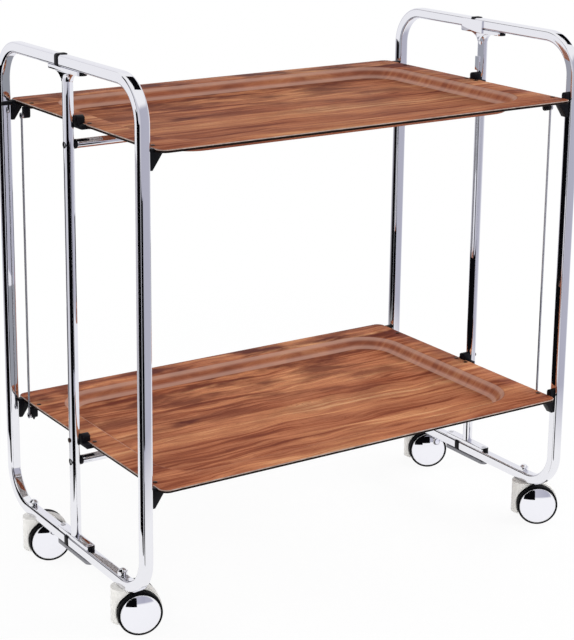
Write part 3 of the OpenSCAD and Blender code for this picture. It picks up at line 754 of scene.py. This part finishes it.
print("points on a quarter arc of 6 steps", len(arc((0, 0), 1, 0, 90, 6)))

# %% Outlines of tyre, hub and cap
WHEEL_WIDTH = mm(14)
WHEEL_GAP = mm(20)
TYRE_ROUND = mm(2.2)
CAP_LINE = mm(0.6)
CAP_SEAT = mm(1)
CAP_RISE = mm(4)
WHEEL_CREASE = 32  # degrees


def tyre_outline(outer, inner):
    """The tyre, round at both sides of its tread, with a small cut at its inner lip."""
    shoulder, lip = outer - TYRE_ROUND, mm(0.4)
    return ([(inner, 0), (shoulder, 0)]
            + arc((shoulder, TYRE_ROUND), TYRE_ROUND, -90, 0, 6)
            + arc((shoulder, WHEEL_WIDTH - TYRE_ROUND), TYRE_ROUND, 0, 90, 6)
            + [(inner + lip, WHEEL_WIDTH), (inner, WHEEL_WIDTH - lip), (inner, 0)])


def cap_outline(radius):
    """The cap: a shallow piece of a ball with a short straight rim."""
    ball = (radius ** 2 + CAP_RISE ** 2) / (2 * CAP_RISE)
    edge = math.degrees(math.asin(radius / ball))
    seat = WHEEL_WIDTH - CAP_SEAT
    dome = arc((0, seat + CAP_RISE - ball), ball, 90, 90 - edge, 24)
    return ([(0, seat)] + dome[:-1]
            + [(radius, seat + mm(0.15)), (radius, seat), (0, seat)])


def hub_outline(radius):
    """The hub: a disc with a shallow groove turned into its inner face."""
    face, groove, seat = mm(0.5), mm(2), WHEEL_WIDTH - CAP_SEAT
    return [(0, face), (radius - mm(6), face), (radius - mm(5), groove),
            (radius - mm(2), groove), (radius - mm(1.5), face), (radius, face),
            (radius, seat), (0, seat)]


print("wheel", round(WHEEL_WIDTH * 1000), "mm wide, gap", round(WHEEL_GAP * 1000), "mm")

# %% The wheels of the four casters
rolls = {joint["child"]: joint for joint in frame["joints"] if joint["name"].endswith("_roll")}


def both_wheels(body, outline):
    """The same turned piece on both sides of a caster, facing outwards."""
    centre = Vector(rolls[body]["pos_m"])
    axle = Vector(rolls[body]["axis"]).normalized()
    whole = bmesh.new()
    for side in (-1, 1):
        part = turned(outline)
        aim = (axle * side).to_track_quat("Z", "Y").to_matrix().to_4x4()
        place = Matrix.Translation(centre + axle * side * WHEEL_GAP / 2) @ aim
        bmesh.ops.transform(part, matrix=place, verts=part.verts)
        half = bpy.data.meshes.new("half")
        part.to_mesh(half)
        part.free()
        whole.from_mesh(half)
        bpy.data.meshes.remove(half)
    mesh = bpy.data.meshes.new(body + " turned")
    whole.to_mesh(mesh)
    whole.free()
    crease(mesh, WHEEL_CREASE)
    return mesh


for corner in ("front_left", "rear_left", "front_right", "rear_right"):
    body = corner + "_wheels"
    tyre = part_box(corner + "_tyres")
    tyre_radius = (tyre[1].z - tyre[0].z) / 2
    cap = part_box(corner + "_caps")
    cap_radius = (cap[1].z - cap[0].z) / 2
    outlines = {"_tyres": tyre_outline(tyre_radius, cap_radius + CAP_LINE),
                "_hubs": hub_outline(cap_radius + CAP_LINE - mm(0.05)),
                "_caps": cap_outline(cap_radius)}
    for kind, outline in outlines.items():
        settle(show(corner + kind + "_turned", both_wheels(body, outline)), corner + kind)
    edged_copy(corner + "_hood", bevel_mm=0.7)
    edged_copy(corner + "_axle", bevel_mm=0.3)
    print(corner, "tyre", round(tyre_radius * 2000, 1), "mm,",
          "cap", round(cap_radius * 2000, 1), "mm")

# %% [markdown]
# ## Studio
# The cart stands on a pale floor in a white studio. The camera sees white all round. Chrome
# shows the room, so the room is part of its look: white above, pale grey walls, and one black
# band at the rear left, which draws a black line down the tubes of the far end frame. Those
# are seen only by reflections, which Light Path tells apart.

# %% World
# What chrome sees at each turn round the cart, in degrees
WALLS = [(-180, "#B3B3C1"), (-150, "#C6C6D0"), (-110, "#E0E0E6"), (-56, "#D8D8DE"),
         (-50, "#08080A"), (-36, "#08080A"), (-33, "#C6C4CA"), (-16, "#C6C4CA"), (-6, "#F4F4F8"),
         (60, "#F4F4F8"), (100, "#E0E0E8"), (130, "#BDBDCA"), (180, "#B9B9C6")]
CEILING_STARTS, CEILING_FULL = 0.42, 0.62  # the upward part of the direction looked in
FILL_LIGHT = 0.5


def studio_world():
    """White to the camera, walls and a white ceiling to chrome, and even light for the rest."""
    world = bpy.data.worlds.new("white studio")
    bpy.context.scene.world = world
    world.use_nodes = True
    tree = world.node_tree
    tree.nodes.clear()
    ray = add(tree, "ShaderNodeLightPath").outputs
    towards = add(tree, "ShaderNodeTexCoord").outputs["Generated"]
    east, north, up = add(tree, "ShaderNodeSeparateXYZ", {0: towards}).outputs
    turn = add(tree, "ShaderNodeMath", {0: east, 1: north}, operation="ARCTAN2")
    share = add(tree, "ShaderNodeMapRange", {0: turn, 1: -math.pi, 2: math.pi, 3: 0, 4: 1})
    walls = add(tree, "ShaderNodeValToRGB", {0: share},
                [((degrees + 180) / 360, code) for degrees, code in WALLS])
    ceiling = add(tree, "ShaderNodeMapRange",
                  {0: up, 1: CEILING_STARTS, 2: CEILING_FULL, 3: 0.0, 4: 1.0},
                  interpolation_type="SMOOTHSTEP")
    room = add(tree, "ShaderNodeMix", {0: ceiling, 6: walls, 7: colour("#FFFFFF")},
               data_type="RGBA")
    seen = add(tree, "ShaderNodeBackground", {0: colour("#FFFFFF"), 1: 1.0})
    mirrored = add(tree, "ShaderNodeBackground", {0: room.outputs[2], 1: 1.0})
    even = add(tree, "ShaderNodeBackground", {0: colour("#F6F7FA"), 1: FILL_LIGHT})
    lit = add(tree, "ShaderNodeMixShader", {0: ray["Is Glossy Ray"], 1: even, 2: mirrored})
    clear = add(tree, "ShaderNodeMath", {0: ray["Is Camera Ray"], 1: ray["Is Transmission Ray"]},
                operation="MAXIMUM")
    whole = add(tree, "ShaderNodeMixShader", {0: clear, 1: lit, 2: seen})
    add(tree, "ShaderNodeOutputWorld", {0: whole})


studio_world()
print("walls", len(WALLS), "tones")

# %% Floor
FLOOR_HALF = 2.2
FOOTPRINT = (0.34, 0.2, 0)  # half the length and depth that the cart stands on
WHITE_REACH = (0.3, 1.0)  # how far outside it the floor turns fully white
NEAR_WHITE = 0.92
GLOSS_REACH = (0.30, 0.62)  # how far outside it the floor ends in reflections


def distance_outside(tree):
    """Distance outside the cart's footprint, in metres."""
    at = add(tree, "ShaderNodeTexCoord").outputs["Object"]
    size = add(tree, "ShaderNodeVectorMath", {0: at}, operation="ABSOLUTE")
    out = add(tree, "ShaderNodeVectorMath", {0: size, 1: FOOTPRINT}, operation="SUBTRACT")
    out = add(tree, "ShaderNodeVectorMath", {0: out, 1: (0, 0, 0)}, operation="MAXIMUM")
    return add(tree, "ShaderNodeVectorMath", {0: out}, operation="LENGTH").outputs["Value"]


def floor_paint():
    """White to the camera with a soft shadow kept, plain matt to light, fading to chrome."""
    material, tree, _ = new_material("pale floor")
    tree.nodes.clear()
    ray = add(tree, "ShaderNodeLightPath").outputs
    far = distance_outside(tree)
    paint = add(tree, "ShaderNodeValToRGB", {0: speckle(tree, (4, 4, 4), 3)},
                [(0.3, "#F1F1F1"), (0.7, "#F6F6F6")])
    matt = add(tree, "ShaderNodeBsdfDiffuse", {0: paint})
    white = add(tree, "ShaderNodeEmission", {0: colour("#FFFFFF"), 1: 1.0})
    whiter = add(tree, "ShaderNodeMapRange",
                 {0: far, 1: WHITE_REACH[0], 2: WHITE_REACH[1], 3: NEAR_WHITE, 4: 1.0})
    pale = add(tree, "ShaderNodeMixShader", {0: whiter, 1: matt, 2: white})
    gone = add(tree, "ShaderNodeBsdfTransparent")
    fade = add(tree, "ShaderNodeMapRange",
               {0: far, 1: GLOSS_REACH[0], 2: GLOSS_REACH[1], 3: 0, 4: 1})
    hidden = add(tree, "ShaderNodeMath", {0: fade, 1: ray["Is Glossy Ray"]},
                 operation="MULTIPLY")
    plain = add(tree, "ShaderNodeMath", {0: ray["Is Camera Ray"], 1: ray["Is Glossy Ray"]},
                operation="MAXIMUM")
    shown = add(tree, "ShaderNodeMixShader", {0: plain, 1: matt, 2: pale})
    ended = add(tree, "ShaderNodeMixShader", {0: hidden, 1: shown, 2: gone})
    add(tree, "ShaderNodeOutputMaterial", {0: ended})
    return material


def sheet_of(name, corners, material):
    """One flat face, marked as part of the studio and not of the cart."""
    made = bmesh.new()
    made.faces.new([made.verts.new(corner) for corner in corners])
    mesh = bpy.data.meshes.new(name)
    made.to_mesh(mesh)
    made.free()
    mesh.materials.append(material)
    show(name.replace(",", "").replace(" ", "_"), mesh)


sheet_of("floor", [(x * FLOOR_HALF, y * FLOOR_HALF, 0)
                   for x, y in ((-1, -1), (1, -1), (1, 1), (-1, 1))], floor_paint())
print("floor", 2 * FLOOR_HALF, "m square")

# %% [markdown]
# Chrome is drawn with cards: plain sheets that only a mirror sees. Most stand round the cart and
# some inside it. White cards behind, at the height of the handles, make the top rails pale. Black
# cards in front draw the dark line down each round post and the dark corner of each mirror cap,
# two by the uprights draw the line down those, and two overhead darken the handles' front bends.
# Low cards over the trays' rims keep the wood's brown out of the tubes beside them. They are set
# for the photograph's view. From other sides the bands fall elsewhere, and a whole face may look
# black, so a scene of one's own is better served by its own cards.

# %% Cards for the chrome
WHITE, PALE, GREY, BLACK = "#FAFAFC", "#F6F6FA", "#9A9DA3", "#08080A"
CARDS = {
    # name: (start and end on the floor plan, lowest and highest point, colour, and how far the
    # top edge leans out)
    "white card, near rail": ((-0.565, 0.12), (-0.565, 1.0), (0.52, 1.1), WHITE),
    "white card, far rail": ((0.2, -0.02), (0.2, 0.45), (0.637, 0.78), WHITE),
    "black card, left": ((-0.92, -0.55), (-0.5, -0.55), (0.0, 0.5), BLACK),
    "black card, middle": ((-0.5, -0.55), (-0.2, -0.55), (0.12, 0.5), BLACK),
    "black card, front upright": ((-0.42, -0.047), (-0.42, -0.22), (0.09, 0.655), BLACK),
    "black card, rear upright": ((-0.42, 0.375), (-0.42, 0.14), (0.09, 0.655), BLACK),
    "black card, left caps": ((-0.62, -0.38), (-0.385, -0.38), (0.0, 0.14), BLACK),
    "black card, front right cap": ((0.02, -0.3), (0.22, -0.38), (0.0, 0.14), BLACK),
    "black card, rear right cap": ((0.113, -0.035), (0.2, -0.124), (0.0, 0.14), BLACK),
    "black card, over left bend": ((-0.2, 0.055), (-0.09, 0.055), (1.0, 1.0), BLACK, (0, -0.29)),
    "black card, over right bend": ((0.58, 0.1), (0.71, 0.1), (1.0, 1.0), BLACK, (0, -0.31)),
    "grey card, under left bend": ((-0.315, 0.1), (-0.2, 0.1), (0.64, 0.64), GREY, (0, 0.1)),
}
# The same three stand over each tray's rim, within these heights
OVER_RIMS = {"upper": ((0.634, 0.68), "#A4A6AE"), "lower": ((0.213, 0.36), "#0A0A0C")}
for level, (heights, right_code) in OVER_RIMS.items():
    CARDS.update({
        level + " card, left post": ((-0.285, -0.2), (-0.285, 0.09), heights, PALE),
        level + " card, rear left": ((-0.345, 0.12), (-0.24, 0.12), heights, GREY),
        level + " card, right": ((0.3, -0.17), (0.3, 0.2), heights, right_code)})


def card_paint(name, code):
    """Plain colour in reflections, and nothing to every other ray."""
    material, tree, _ = new_material(name)
    tree.nodes.clear()
    ray = add(tree, "ShaderNodeLightPath").outputs
    gone = add(tree, "ShaderNodeBsdfTransparent")
    card = add(tree, "ShaderNodeEmission", {0: colour(code), 1: 1.0})
    seen = add(tree, "ShaderNodeMixShader", {0: ray["Is Glossy Ray"], 1: gone, 2: card})
    add(tree, "ShaderNodeOutputMaterial", {0: seen})
    return material


def mirror_card(name, start, end, heights, code, lean=(0, 0)):
    """A sheet that only reflections see."""
    low, high = heights
    corners = ((*start, low), (*end, low), (end[0] + lean[0], end[1] + lean[1], high),
               (start[0] + lean[0], start[1] + lean[1], high))
    sheet_of(name, corners, card_paint(name, code))


for name, card in CARDS.items():
    mirror_card(name, *card)
print("cards", list(CARDS))

# %% Lamps
LAMP_HEIGHT = 1.25
LAMP_AIM = Vector((0, 0, 0.4))
LAMP_SIZE = (1.4, 0.8)
LAMP_WATTS = 24
LAMPS = {"front left lamp": (-1.4, -1.8), "front right lamp": (1.7, -1.5),
         "right lamp": (2.2, 0.1), "rear left lamp": (-1.7, 1.5)}


def softbox(name, x, y):
    """A large soft lamp that faces the cart. Chrome shows the room and the cards, not the lamp."""
    lamp = bpy.data.lights.new(name, "AREA")
    lamp.shape = "RECTANGLE"
    lamp.size, lamp.size_y = LAMP_SIZE
    lamp.energy = LAMP_WATTS
    box = bpy.data.objects.new(name, lamp)
    place = Vector((x, y, LAMP_HEIGHT))
    box.location = place
    box.rotation_euler = (LAMP_AIM - place).to_track_quat("-Z", "Y").to_euler()
    box.visible_glossy = False
    bpy.context.scene.collection.objects.link(box)


for name, (x, y) in LAMPS.items():
    softbox(name, x, y)
print("lamps", list(LAMPS))

# %% [markdown]
# ## Camera
# The photograph was taken from the front left, a little above the upper tray, with a long
# lens. Its verticals are upright in the picture, which a shifted lens does, so the camera
# has a shift too. It is kept small, so the uprights still lean a little. The angle, distance
# and lens were worked out from the cart's own straight edges.

# %% Camera and colour view
PHOTO_SIZE = (574, 640)
AZIMUTH = math.radians(-31.385)
ELEVATION = math.radians(14.073)
DISTANCE = 2.322
FOCAL_PIXELS = 1748
SHIFT_PIXELS = (-80, -100)
TARGET = Vector((-0.130, 0, 0.484))


def photo_camera():
    """A camera at the photograph's angle and distance, with its lens and a small shift."""
    lens = bpy.data.cameras.new("photo camera")
    camera = bpy.data.objects.new("photo camera", lens)
    bpy.context.scene.collection.objects.link(camera)
    look = Vector((-math.sin(AZIMUTH) * math.cos(ELEVATION),
                   math.cos(AZIMUTH) * math.cos(ELEVATION), -math.sin(ELEVATION)))
    camera.location = TARGET - look * DISTANCE
    camera.rotation_euler = look.to_track_quat("-Z", "Y").to_euler()
    long_side = max(PHOTO_SIZE)
    lens.sensor_width = 36
    lens.lens = FOCAL_PIXELS / long_side * lens.sensor_width
    lens.shift_x = -SHIFT_PIXELS[0] / long_side
    lens.shift_y = SHIFT_PIXELS[1] / long_side
    lens.clip_end = 50
    bpy.context.scene.camera = camera
    return camera


camera = photo_camera()
bpy.context.scene.view_settings.view_transform = "Standard"
print("lens", round(camera.data.lens, 1), "mm, place", [round(c, 3) for c in camera.location])

# %% Sizes and the end
def plain(box):
    """A box as rounded numbers that can be written down."""
    return [[round(float(c), 6) for c in corner] for corner in box]
